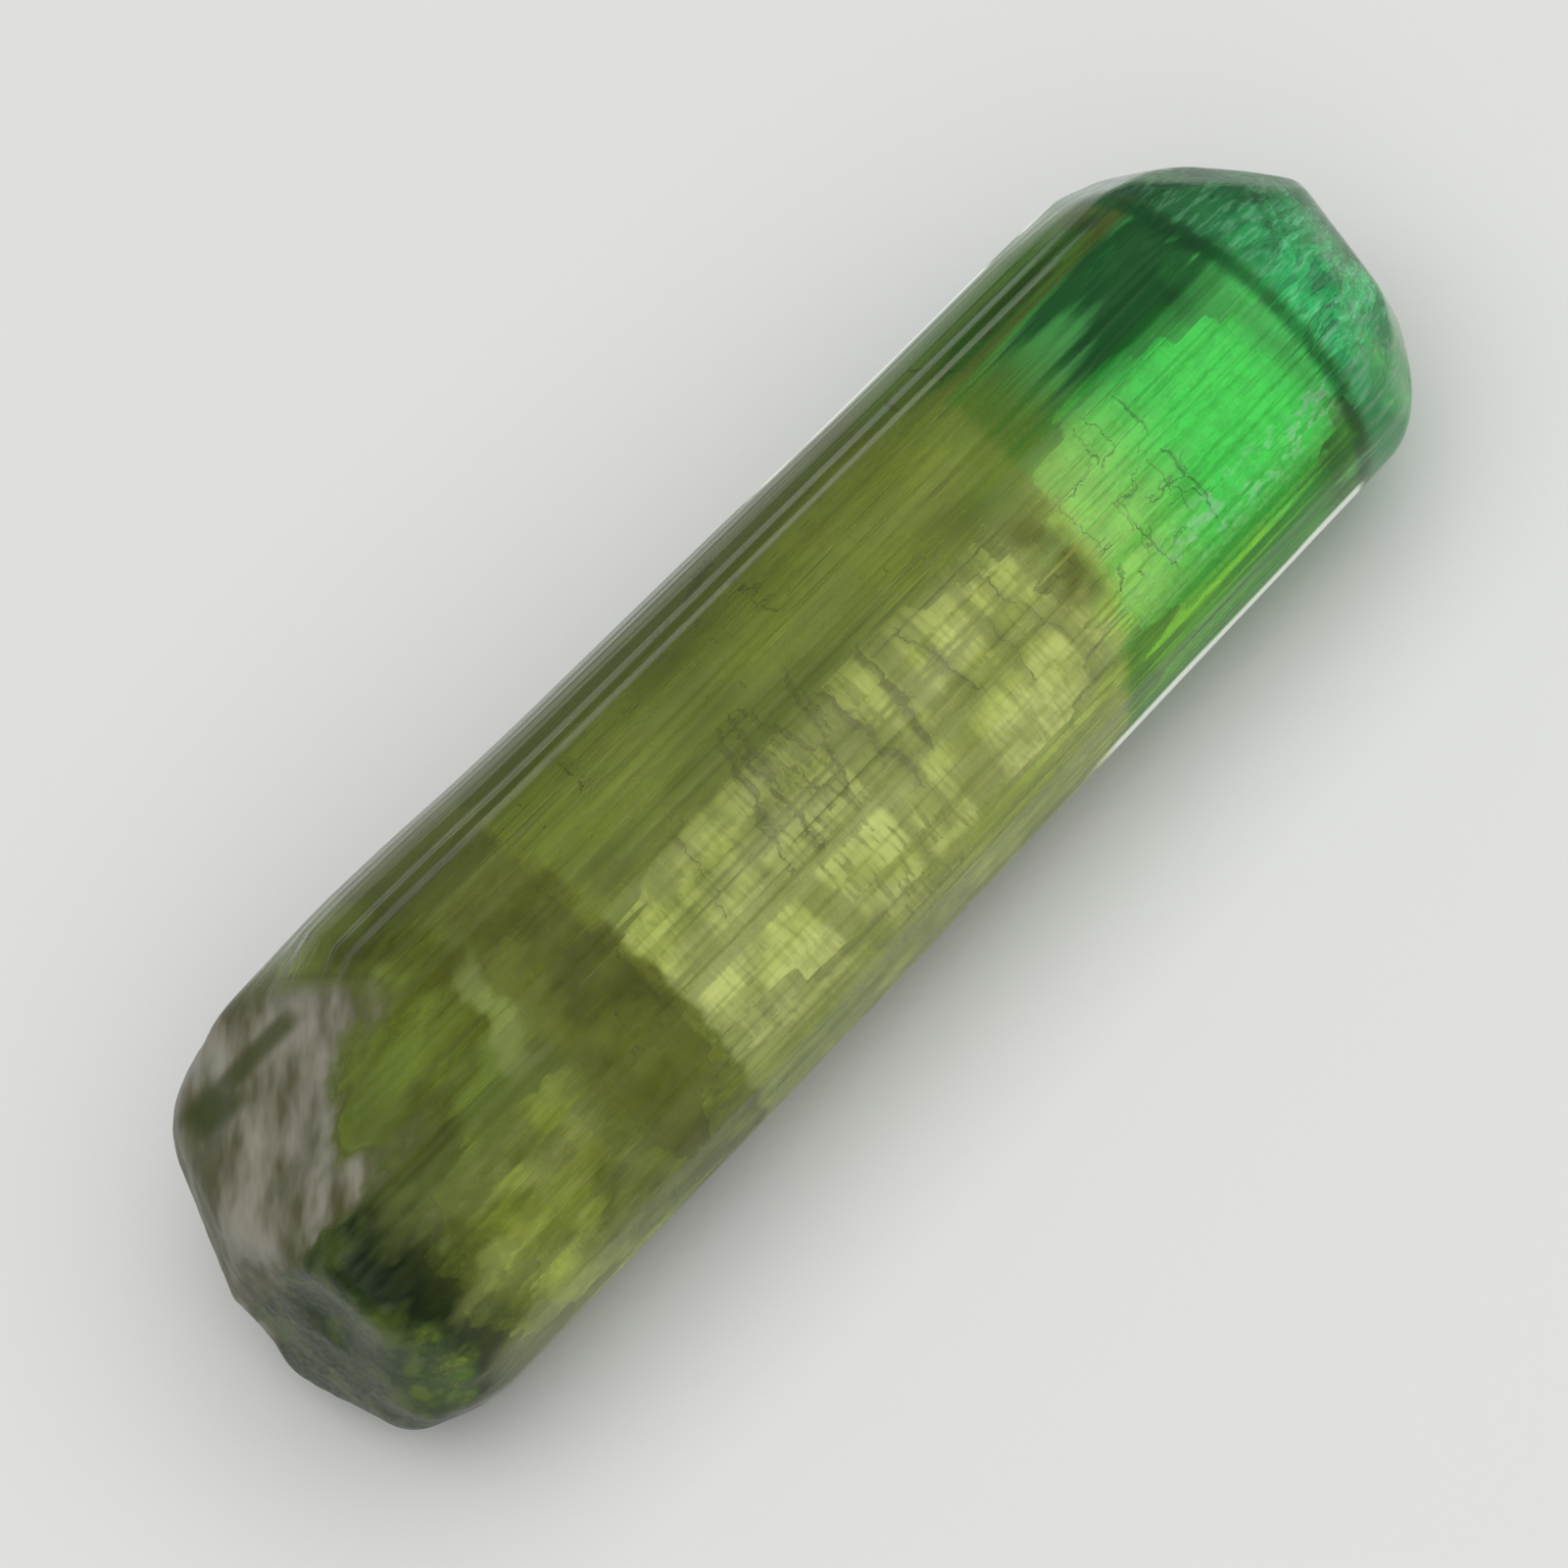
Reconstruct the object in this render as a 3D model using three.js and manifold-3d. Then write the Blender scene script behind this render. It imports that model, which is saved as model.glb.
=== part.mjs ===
// A loose tourmaline crystal, lying on one of its prism faces.
//
// It is one natural solid: a long ribbed prism, a domed termination at one end and a rough break
// at the other. Millimetres, +Z up. The long axis runs along X with the termination towards +X,
// and the origin is under the middle of the crystal, on the flat face that it lies on.

import * as THREE from 'three';
import { mergeVertices } from 'three/addons/utils/BufferGeometryUtils.js';
import Module from 'manifold-3d';

// Driving dimensions, in millimetres and degrees.
const LENGTH = 36.0; // from the break to the tip
const RADIUS = 5.12; // the prism's mean half width, half way along it
const TAPER = 0.075; // share of the width lost from the broken end to the termination
const REST_SHARE = 0.84; // how far the face it lies on is from the axis, as a share of the radius

// The prism's faces. Each looks out at an angle from +Y towards +Z, and lies at a share of the
// radius from the axis. Broad faces look at 28, 118 and 270, each built of two or three that are
// nearly in one plane, and narrower ones part them.
const PRISM_FACES = [
  { looks: -2, distance: 0.995 },
  { looks: 22, distance: 0.955 },
  { looks: 36, distance: 0.95 },
  { looks: 62, distance: 0.972 },
  { looks: 107, distance: 0.872 },
  { looks: 119, distance: 0.856 },
  { looks: 128, distance: 0.866 },
  { looks: 157, distance: 0.955 },
  { looks: 183, distance: 1.0 },
  { looks: 209, distance: 1.005 },
  { looks: 238, distance: 0.94 },
  { looks: 259, distance: 0.86 },
  { looks: 270, distance: REST_SHARE },
  { looks: 280, distance: 0.858 },
  { looks: 303, distance: 0.95 },
  { looks: 331, distance: 1.01 },
];
const EDGE_SHARPNESS = 90; // higher is crisper between two prism faces

// Ribs run the whole length of the prism, at uneven spacing.
const RIB_HEIGHT = 0.035;
const RIB_JITTER = 0.36; // share of their spacing that they wander from even
const RIB_SEED = 7;

// Low swellings of the prism: where along it, the side that they are on, and how far they reach.
const SWELLINGS = [
  { x: -9.6, looks: 30, reach: 3.2, spread: 45, height: 0.17 },
  { x: -2.5, looks: 190, reach: 7.0, spread: 50, height: 0.06 },
  { x: 7.0, looks: 20, reach: 5.0, spread: 40, height: -0.06 },
];

// The termination. Low faces meet at a blunt tip. Each looks `towards` an angle round the axis
// and leans away from the axis by `lean`; it passes the point that is `out` from the axis in that
// direction and `back` from the tip.
const TIP_FACES = [
  { towards: 28, lean: 30, out: 1.2, back: 0.25 },
  { towards: 150, lean: 18, out: -0.4, back: 0.0 },
  { towards: 264, lean: 23, out: -0.7, back: 0.05 },
  { towards: 206, lean: 20, out: 2.2, back: 0.5 },
];

// Below them, tiers of small steeper faces round off the shoulders. A tier's `out` is a share of
// the prism's own half width in each direction.
const TIP_TIERS = [
  { faces: 9, lean: 39, out: 0.62, back: 1.25 },
  { faces: 11, lean: 53, out: 0.8, back: 2.1 },
  { faces: 13, lean: 68, out: 0.94, back: 3.15 },
];
const TIER_JITTER = { towards: 9, lean: 2.5, back: 0.12 };
const TIER_SEED = 5;
const FULL_SIDE = { looks: 207, share: 0.3 }; // the shoulders sit closer to the tip on this side

// The broken end: one main break, a long slanting one that took off a corner, and chips.
const BREAK_FACES = [
  { towards: 122, lean: 11, out: 0.0, back: 0.75 },
  { towards: 200, lean: 12, out: 3.1, back: 0.66 },
  { towards: 205, lean: 44, out: 4.3, back: 0.86 },
  { towards: 207, lean: 66, out: 4.8, back: 1.6 },
  { towards: 168, lean: 50, out: 4.4, back: 1.6 },
  { towards: 68, lean: 60, out: 4.0, back: 4.6 },
  { towards: 30, lean: 24, out: 1.9, back: 1.2 },
  { towards: 30, lean: 45, out: 3.85, back: 2.2 },
  { towards: 32, lean: 67, out: 4.7, back: 3.7 },
  { towards: 332, lean: 40, out: 4.1, back: 2.0 },
  { towards: 282, lean: 52, out: 3.9, back: 1.2 },
  { towards: 246, lean: 44, out: 4.2, back: 1.0 },
];

// Shell-shaped hollows in the broken end. Each dishes in by `depth` at a place on the section.
const BREAK_HOLLOWS = [
  { y: -1.9, z: 1.4, back: 1.2, radius: 3.4, depth: 0.2, towards: 150, lean: 14 },
  { y: 0.9, z: -1.9, back: 0.35, radius: 4.2, depth: 0.2, towards: 300, lean: 12 },
  { y: 3.1, z: 1.9, back: 2.75, radius: 3.6, depth: 0.2, towards: 60, lean: 56 },
  { y: 0.7, z: 3.1, back: 3.1, radius: 2.9, depth: 0.22, towards: 70, lean: 58 },
  { y: -3.6, z: -1.4, back: 0.85, radius: 2.4, depth: 0.14, towards: 202, lean: 20 },
];

// How finely the prism is divided.
const AROUND = 96;
const ALONG = 18;

const HALF = LENGTH / 2;
const REACH = 3 * RADIUS; // half the side of a cutting block, which clears the whole crystal

const radians = THREE.MathUtils.degToRad;

// Repeatable numbers from -1 to 1.
function seededNumbers(count, seed) {
  let state = seed;
  return Array.from({ length: count }, () => {
    state = (state * 48271) % 2147483647;
    return (2 * state) / 2147483647 - 1;
  });
}

const ribHeights = seededNumbers(AROUND, RIB_SEED);
const ribSlopes = seededNumbers(AROUND, RIB_SEED + 1);
const ribShifts = seededNumbers(AROUND, RIB_SEED + 2);

function radiusAt(x) {
  return RADIUS * (1 - (TAPER * x) / LENGTH);
}

function sectionRadius(angle, x) {
  const sum = PRISM_FACES.reduce((total, face) => {
    const lean = Math.max(0, Math.cos(angle - radians(face.looks)));
    return total + (lean / face.distance) ** EDGE_SHARPNESS;
  }, 0);
  return radiusAt(x) * sum ** (-1 / EDGE_SHARPNESS);
}

function swellingHeight(angle, x) {
  return SWELLINGS.reduce((total, { x: centre, looks, reach, spread, height }) => {
    const along = (x - centre) / reach;
    const turn = Math.acos(Math.cos(angle - radians(looks))) / radians(spread);
    return total + height * Math.exp(-along * along - turn * turn);
  }, 0);
}

// A point of the prism's side, on rib number `rib`.
function sidePoint(rib, x) {
  const angle = ((rib + RIB_JITTER * ribShifts[rib]) / AROUND) * 2 * Math.PI;
  const height = RIB_HEIGHT * ribHeights[rib] * (1 + (0.6 * ribSlopes[rib] * x) / HALF);
  const radius = sectionRadius(angle, x) + height + swellingHeight(angle, x);
  const lift = REST_SHARE * radiusAt(x);
  return new THREE.Vector3(x, radius * Math.cos(angle), radius * Math.sin(angle) + lift);
}

// A cylinder with its vertices moved out to the prism's section. Its ends are cut to shape later.
function prism() {
  const cylinder = new THREE.CylinderGeometry(1, 1, LENGTH, AROUND, ALONG);
  const { position } = cylinder.attributes;
  for (let i = 0; i < position.count; i += 1) {
    const x = position.getY(i);
    const [across, up] = [position.getX(i), position.getZ(i)];
    const centre = REST_SHARE * radiusAt(x);
    if (Math.hypot(across, up) < 0.5) {
      position.setXYZ(i, x, 0, centre);
    } else {
      const turn = Math.atan2(across, up) / (2 * Math.PI);
      const rib = (Math.round(turn * AROUND) + AROUND) % AROUND;
      position.setXYZ(i, ...sidePoint(rib, x).toArray());
    }
  }
  return cylinder;
}

// The direction that an end's face looks in. `end` is 1 at the termination, -1 at the break.
function faceNormal(end, towards, lean) {
  const outward = Math.sin(radians(lean));
  return new THREE.Vector3(
    end * Math.cos(radians(lean)),
    outward * Math.cos(radians(towards)),
    outward * Math.sin(radians(towards)),
  );
}

// The faces of the shoulders, each a little out of step with its neighbours.
function tierFaces() {
  return TIP_TIERS.flatMap((tier, n) => {
    const jitter = seededNumbers(3 * tier.faces, TIER_SEED + n);
    return Array.from({ length: tier.faces }, (_, i) => {
      const [turn, tip, slip] = jitter.slice(3 * i, 3 * i + 3);
      const towards = (360 * (i + n / 3)) / tier.faces + TIER_JITTER.towards * turn;
      const fullness = FULL_SIDE.share * Math.cos(radians(towards - FULL_SIDE.looks));
      return {
        towards,
        lean: tier.lean + TIER_JITTER.lean * tip,
        out: tier.out * sectionRadius(radians(towards), HALF),
        back: tier.back * (1 - fullness) + TIER_JITTER.back * slip,
      };
    });
  });
}

// A place on an end: from the axis there, and back from the very end.
function endPlace(end, y, z, back) {
  const x = end * (HALF - back);
  return new THREE.Vector3(x, y, z + REST_SHARE * radiusAt(x));
}

// A block that takes off everything beyond a face of an end.
function blockBeyond(end, face) {
  const normal = faceNormal(end, face.towards, face.lean);
  const place = endPlace(
    end,
    face.out * Math.cos(radians(face.towards)),
    face.out * Math.sin(radians(face.towards)),
    face.back,
  );
  const block = new THREE.BoxGeometry(2 * REACH, 2 * REACH, 2 * REACH);
  block.applyQuaternion(
    new THREE.Quaternion().setFromUnitVectors(new THREE.Vector3(0, 0, 1), normal),
  );
  const centre = place.addScaledVector(normal, REACH);
  return block.translate(centre.x, centre.y, centre.z);
}

// A ball that dishes in a shell-shaped hollow.
function hollowBall({ y, z, back, radius, depth, towards, lean }) {
  const normal = faceNormal(-1, towards, lean);
  const centre = endPlace(-1, y, z, back).addScaledVector(normal, radius - depth);
  return new THREE.SphereGeometry(radius, 44, 30).translate(centre.x, centre.y, centre.z);
}

// The face that it lies on, trimmed true.
function blockBelow() {
  const trim = RIB_HEIGHT;
  return new THREE.BoxGeometry(2 * LENGTH, 4 * RADIUS, 2 * RADIUS).translate(0, 0, trim - RADIUS);
}

const wasm = await Module();
wasm.setup();

function solidOf(geometry) {
  const bare = geometry.clone();
  bare.deleteAttribute('normal');
  bare.deleteAttribute('uv');
  const merged = mergeVertices(bare, 1e-4);
  const vertProperties = new Float32Array(merged.attributes.position.array);
  const triVerts = new Uint32Array(merged.index.array);
  return new wasm.Manifold(new wasm.Mesh({ numProp: 3, vertProperties, triVerts }));
}

function geometryOf(solid) {
  const mesh = solid.getMesh();
  const geometry = new THREE.BufferGeometry();
  geometry.setAttribute('position', new THREE.BufferAttribute(mesh.vertProperties, 3));
  geometry.setIndex(new THREE.BufferAttribute(mesh.triVerts, 1));
  return geometry;
}

const cutters = [
  ...[...TIP_FACES, ...tierFaces()].map((face) => blockBeyond(1, face)),
  ...BREAK_FACES.map((face) => blockBeyond(-1, face)),
  ...BREAK_HOLLOWS.map(hollowBall),
  blockBelow(),
];
const crystalSolid = cutters.reduce(
  (solid, cutter) => solid.subtract(solidOf(cutter)),
  solidOf(prism()),
);

// The origin goes under the middle of the crystal, on the face it lies on.
const crystalGeometry = geometryOf(crystalSolid);
crystalGeometry.computeBoundingBox();
const middle = crystalGeometry.boundingBox.getCenter(new THREE.Vector3());
crystalGeometry.translate(-middle.x, -middle.y, -crystalGeometry.boundingBox.min.z);
crystalGeometry.computeVertexNormals();

const crystal = new THREE.Mesh(
  crystalGeometry,
  new THREE.MeshStandardMaterial({ color: 0x6f8440, roughness: 0.18, metalness: 0 }),
);
crystal.name = 'tourmaline_crystal';

const part = new THREE.Group();
part.add(crystal);

export default part;
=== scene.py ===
"""A loose bi-coloured tourmaline crystal, lying on a pale surface."""

import math
import random

import bpy
import numpy as np
from bpy.props import FloatProperty, FloatVectorProperty, IntProperty, PointerProperty
from mathutils import Matrix, Vector, noise


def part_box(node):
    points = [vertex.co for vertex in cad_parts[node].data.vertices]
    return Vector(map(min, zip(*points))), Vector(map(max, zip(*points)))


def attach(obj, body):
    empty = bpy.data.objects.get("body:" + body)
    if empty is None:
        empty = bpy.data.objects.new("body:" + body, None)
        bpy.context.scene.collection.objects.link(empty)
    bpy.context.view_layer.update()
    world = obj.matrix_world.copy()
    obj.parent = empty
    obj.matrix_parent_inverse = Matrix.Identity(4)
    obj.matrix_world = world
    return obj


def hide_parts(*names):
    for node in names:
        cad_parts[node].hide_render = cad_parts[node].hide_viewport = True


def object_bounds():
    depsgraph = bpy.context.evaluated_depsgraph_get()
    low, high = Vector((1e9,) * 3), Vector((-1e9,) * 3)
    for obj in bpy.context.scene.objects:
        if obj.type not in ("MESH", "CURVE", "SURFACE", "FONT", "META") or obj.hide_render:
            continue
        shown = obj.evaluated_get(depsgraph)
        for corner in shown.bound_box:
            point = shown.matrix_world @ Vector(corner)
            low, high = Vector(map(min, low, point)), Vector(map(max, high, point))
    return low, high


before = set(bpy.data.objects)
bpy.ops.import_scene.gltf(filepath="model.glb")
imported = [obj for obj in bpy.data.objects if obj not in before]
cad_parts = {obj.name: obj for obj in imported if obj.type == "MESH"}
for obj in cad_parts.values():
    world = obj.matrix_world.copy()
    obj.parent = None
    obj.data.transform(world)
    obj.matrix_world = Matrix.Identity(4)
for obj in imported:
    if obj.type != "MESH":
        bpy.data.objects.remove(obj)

bl_info = {
    "name": "Tourmaline crystal",
    "version": (1, 0, 0),
    "blender": (4, 5, 0),
    "location": "View3D > Sidebar > Tourmaline",
    "description": "Builds a loose tourmaline crystal on a pale surface",
    "category": "Object",
}

MM = 0.001
NODE = "tourmaline_crystal"
SKIN = "tourmaline_crystal_skin"
CAD_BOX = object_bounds()
LOW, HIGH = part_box(NODE)
HALF_LENGTH = (HIGH.x - LOW.x) / 2
AXIS_HEIGHT = 4.3 * MM

# The broad face looks out at this angle from +Y towards +Z. Places inside the crystal are given
# by x along it, how far across the broad face, and how far up towards that face.
BROAD_LOOKS = math.radians(117.6)
ACROSS = Vector((0, math.cos(BROAD_LOOKS + math.pi / 2), math.sin(BROAD_LOOKS + math.pi / 2)))
UPWARD = Vector((0, math.cos(BROAD_LOOKS), math.sin(BROAD_LOOKS)))

# Edges of the prism that get a painted white highlight line: where each looks, and from where to
# where along it.
PAINTED_HIGHLIGHT_EDGES = ((math.radians(32), 2.6, 13.4), (math.radians(196), 3.9, 13.3))


class CrystalSettings(bpy.types.PropertyGroup):
    around: IntProperty(
        name="Divisions around",
        description="How many times the skin is divided round the long axis",
        default=520,
    )
    rings: IntProperty(
        name="Rings",
        description="How many rings the skin has from tip to break",
        default=184,
    )
    rib_depth: FloatProperty(
        name="Rib depth",
        description="Height of the growth ribs that run along the prism",
        default=0.014 * MM,
        unit="LENGTH",
    )
    wear: FloatProperty(
        name="Wear",
        description="How strongly the edges of the two ends are rounded off",
        default=0.5,
        subtype="FACTOR",
    )
    absorption: FloatProperty(
        name="Absorption",
        description="Density of the colour inside the crystal, per metre",
        default=100.0,
    )
    body_tint: FloatVectorProperty(
        name="Body tint",
        description="Colour that light takes on inside the crystal",
        default=(0.72, 0.83, 0.28),
        subtype="COLOR",
    )
    sheen_tint: FloatVectorProperty(
        name="Sheen tint",
        description="Colour of what the faces mirror head on",
        default=(0.34, 0.38, 0.30),
        subtype="COLOR",
    )


class InclusionSettings(bpy.types.PropertyGroup):
    cross_count: IntProperty(
        name="Cross fractures",
        description="How many healed fractures lie across the prism",
        default=8,
    )
    sheet_thickness: FloatProperty(
        name="Sheet thickness",
        description="Thickness of a healed fracture",
        default=0.012 * MM,
        unit="LENGTH",
    )
    seed: IntProperty(name="Seed", description="Picks the arrangement", default=4)


class StageSettings(bpy.types.PropertyGroup):
    floor_tone: FloatVectorProperty(
        name="Floor colour",
        description="Colour of the plain surface that the crystal lies on",
        default=(0.50, 0.50, 0.485),
        subtype="COLOR",
    )
    lens: FloatProperty(
        name="Lens",
        description="Focal length of the camera, in millimetres",
        default=160.0,
    )
    distance: FloatProperty(
        name="Camera distance",
        description="From the camera to the point that it looks at",
        default=0.157,
        unit="LENGTH",
    )


def only(piece):
    """Deselects everything, then selects and activates one piece."""
    bpy.ops.object.select_all(action="DESELECT")
    piece.select_set(True)
    bpy.context.view_layer.objects.active = piece


def apply_modifier(piece, kind, **settings):
    """Adds a modifier with these settings and applies it at once."""
    only(piece)
    modifier = piece.modifiers.new(kind.title(), kind)
    for name, value in settings.items():
        setattr(modifier, name, value)
    bpy.ops.object.modifier_apply(modifier=modifier.name)


def points_of(mesh):
    flat = np.empty(3 * len(mesh.vertices))
    mesh.vertices.foreach_get("co", flat)
    return flat.reshape(-1, 3)


def normals_of(mesh):
    return np.array([v.normal for v in mesh.vertices])


def move_points(mesh, points):
    mesh.vertices.foreach_set("co", np.ascontiguousarray(points).ravel())
    mesh.update()


def smooth_step(low, high, value):
    share = np.clip((value - low) / (high - low), 0.0, 1.0)
    return share * share * (3 - 2 * share)


def sample(function, points):
    """One noise value for each point."""
    return np.array([function(Vector(p)) for p in points])


# ---------------------------------------------------------------- node helpers


class Nodes:
    """Adds nodes to a material, each with its plain values and links in one call."""

    def __init__(self, name):
        self.material = bpy.data.materials.new(name)
        self.material.use_nodes = True
        self.tree = self.material.node_tree
        self.tree.nodes.clear()
        where = self.add("TexCoord").outputs["Object"]
        centred = self.add("VectorMath", {0: where, 1: (0, 0, AXIS_HEIGHT)}, operation="SUBTRACT")
        self.x = self.reading(centred, (1 / MM, 0, 0))
        self.across = self.reading(centred, ACROSS / MM)
        self.up = self.reading(centred, UPWARD / MM)
        self.grown = self.vector(self.x, self.across, self.up)

    def add(self, kind, inputs=None, **settings):
        node = self.tree.nodes.new("ShaderNode" + kind)
        for name, value in settings.items():
            setattr(node, name, value)
        for key, value in (inputs or {}).items():
            if isinstance(value, bpy.types.NodeSocket):
                self.tree.links.new(value, node.inputs[key])
            else:
                node.inputs[key].default_value = value
        return node

    def vector(self, *parts):
        return self.add("CombineXYZ", dict(enumerate(parts))).outputs["Vector"]

    def noise(self, scale, detail=4.0, roughness=0.55, shift=(0, 0, 0), place=None):
        """Noise with this many features per millimetre along, across and up."""
        placed = self.add(
            "Mapping", {"Vector": place or self.grown, "Scale": scale, "Location": shift}
        )
        return self.add(
            "TexNoise",
            {
                "Vector": placed.outputs["Vector"],
                "Scale": 1.0,
                "Detail": detail,
                "Roughness": roughness,
            },
        ).outputs["Fac"]

    def math(self, operation, a, b=0.0):
        return self.add("Math", {0: a, 1: b}, operation=operation).outputs[0]

    def span(self, value, low, high, to_low=0.0, to_high=1.0, kind="SMOOTHSTEP"):
        if not isinstance(low, bpy.types.NodeSocket) and low > high:
            low, high, to_low, to_high = high, low, to_high, to_low
        ends = {"From Min": low, "From Max": high, "To Min": to_low, "To Max": to_high}
        return self.add(
            "MapRange", {"Value": value, **ends}, interpolation_type=kind
        ).outputs["Result"]

    def within(self, value, start, full, end, gone):
        """One between full and end, fading to nothing at start and at gone."""
        return self.both(self.span(value, start, full), self.span(value, end, gone, 1.0, 0.0))

    def both(self, a, b, *more):
        """Parts multiplied together."""
        total = self.math("MULTIPLY", a, b)
        for part in more:
            total = self.math("MULTIPLY", total, part)
        return total

    def either(self, a, b):
        return self.math("MAXIMUM", a, b)

    def reading(self, place, direction):
        """How far a place lies along a direction."""
        return self.add(
            "VectorMath",
            {0: place.outputs["Vector"], 1: tuple(direction)},
            operation="DOT_PRODUCT",
        ).outputs["Value"]

    def mix(self, factor, a, b):
        node = self.add("Mix", {0: factor}, data_type="RGBA")
        for socket, value in ((node.inputs[6], a), (node.inputs[7], b)):
            if isinstance(value, bpy.types.NodeSocket):
                self.tree.links.new(value, socket)
            else:
                socket.default_value = (*value, 1.0)
        return node.outputs[2]

    def finish(self, surface, volume=None):
        out = self.add("OutputMaterial", {"Surface": surface})
        if volume is not None:
            self.tree.links.new(volume, out.inputs["Volume"])
        return self.material


# ------------------------------------------------------------------ the crystal


def skin_cage(settings):
    """A long closed cage round the crystal, finely divided round and along."""
    bpy.ops.object.select_all(action="DESELECT")
    bpy.ops.mesh.primitive_uv_sphere_add(
        segments=settings.around,
        ring_count=settings.rings,
        radius=1.0,
        rotation=(0, math.pi / 2, 0),
    )
    cage = bpy.context.object
    bpy.ops.object.transform_apply(location=True, rotation=True, scale=True)
    points = points_of(cage.data)
    share = np.arccos(np.clip(points[:, 0], -1, 1)) / math.pi
    around = np.arctan2(points[:, 2], points[:, 1])
    cap_share = 0.37
    cap_start = HALF_LENGTH - 4.6 * MM
    cap_length = 6.0 * MM
    cage_radius = 6.6 * MM
    folded = np.minimum(share, 1 - share)
    side = np.where(share < 0.5, 1.0, -1.0)
    cap_angle = np.minimum(folded / cap_share, 1.0) * math.pi / 2
    along = np.clip((folded - cap_share) / (0.5 - cap_share), 0.0, 1.0)
    x = side * (cap_start * (1 - along) + cap_length * np.cos(cap_angle))
    radius = cage_radius * np.sin(cap_angle)
    shaped = np.stack([x, radius * np.cos(around), AXIS_HEIGHT + radius * np.sin(around)], 1)
    move_points(cage.data, shaped)
    return cage


def rib_height(points):
    """Height of the growth ribs: steps and grooves that run along the prism."""
    y, z = points[:, 1] / MM, (points[:, 2] - AXIS_HEIGHT) / MM
    x = points[:, 0] / MM
    turn = np.arctan2(z, y)
    girth = 5.0
    total = np.zeros(len(points))
    for frequency, drift, weight, steps in (
        (1.1, 0.012, 1.0, 5),
        (3.1, 0.03, 0.55, 3),
        (7.3, 0.05, 0.22, 0),
    ):
        ring = girth * frequency
        coords = np.stack([ring * np.cos(turn), ring * np.sin(turn), x * drift], 1)
        values = sample(noise.noise, coords)
        if steps:
            level = values * steps
            base = np.floor(level)
            values = (base + smooth_step(0.35, 0.65, level - base)) / steps
        total += weight * values
    return total


def fracture_height(points):
    """Hackly relief of the broken end."""
    mm = points / MM
    ridges = sample(lambda p: noise.ridged_multi_fractal(p, 0.9, 2.1, 2, 0.9, 1.8), mm * 0.5)
    grain = sample(lambda p: noise.fractal(p, 0.8, 2.0, 2), mm * 1.1)
    return 0.02 * ridges + 0.035 * grain


def shape_skin(skin, settings):
    """Adds the growth ribs and the relief of the break, and keeps the skin in the CAD box."""
    mesh = skin.data
    points = points_of(mesh)
    normals = normals_of(mesh)
    x = points[:, 0]
    sideways = np.hypot(normals[:, 1], normals[:, 2])
    on_side = smooth_step(0.9, 0.98, sideways)
    resting = smooth_step(0.0, 0.12 * MM, points[:, 2])
    broken = smooth_step(0.05, 0.3, -normals[:, 0]) * (x < 0)
    ribs = rib_height(points) * settings.rib_depth * on_side
    cracks = -np.abs(fracture_height(points)) * MM * broken
    moved = points + normals * ((ribs + cracks) * resting)[:, None]
    low, high = np.array(CAD_BOX[0]), np.array(CAD_BOX[1])
    move_points(mesh, np.clip(moved, low, high))


def scalloped(n):
    """How far along a place is, for a border across the prism with small scallops."""
    scallop = n.span(n.noise((0.2, 1.5, 1.5), 1.0), 0.2, 0.8, -0.22, 0.22, "LINEAR")
    return n.math("ADD", n.x, scallop)


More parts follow.
